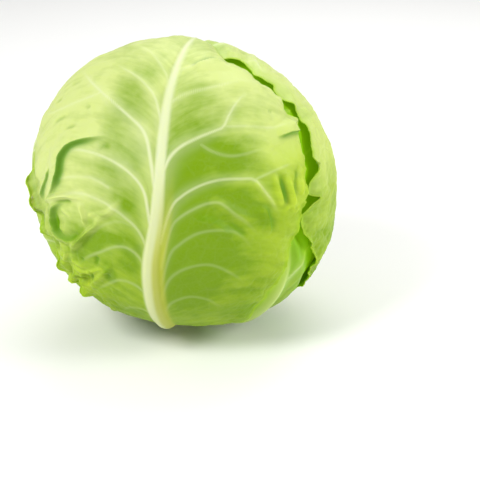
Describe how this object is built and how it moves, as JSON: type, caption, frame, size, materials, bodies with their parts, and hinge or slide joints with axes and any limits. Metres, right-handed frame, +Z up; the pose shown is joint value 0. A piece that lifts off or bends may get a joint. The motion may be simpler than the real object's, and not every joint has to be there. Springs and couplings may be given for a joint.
{
  "type": "cabbage head",
  "caption": "Round head cabbage: broad ribbed wrapper leaves with wavy edges lie over one another round a tight heart, on a short cut stalk.",
  "frame": {"origin": "middle of the stalk's flat cut face, which the head stands on", "axes": "+Z up through the head, -Z is the cut face's outward normal, -Y is the side towards the viewer, where the outermost leaf is"},
  "size_m": [0.1717, 0.1643, 0.1625],
  "materials": {
    "stalk": "matte",
    "heart": "satin",
    "leaf_back": "satin",
    "leaf_right": "satin",
    "leaf_left": "satin",
    "leaf_right_back": "satin",
    "leaf_front": "satin"
  },
  "bodies": {
    "root": {"stalk": "stalk", "heart": "heart", "leaf_back": "leaf_back", "leaf_right": "leaf_right", "leaf_left": "leaf_left", "leaf_right_back": "leaf_right_back", "leaf_front": "leaf_front"}
  },
  "joints": []
}
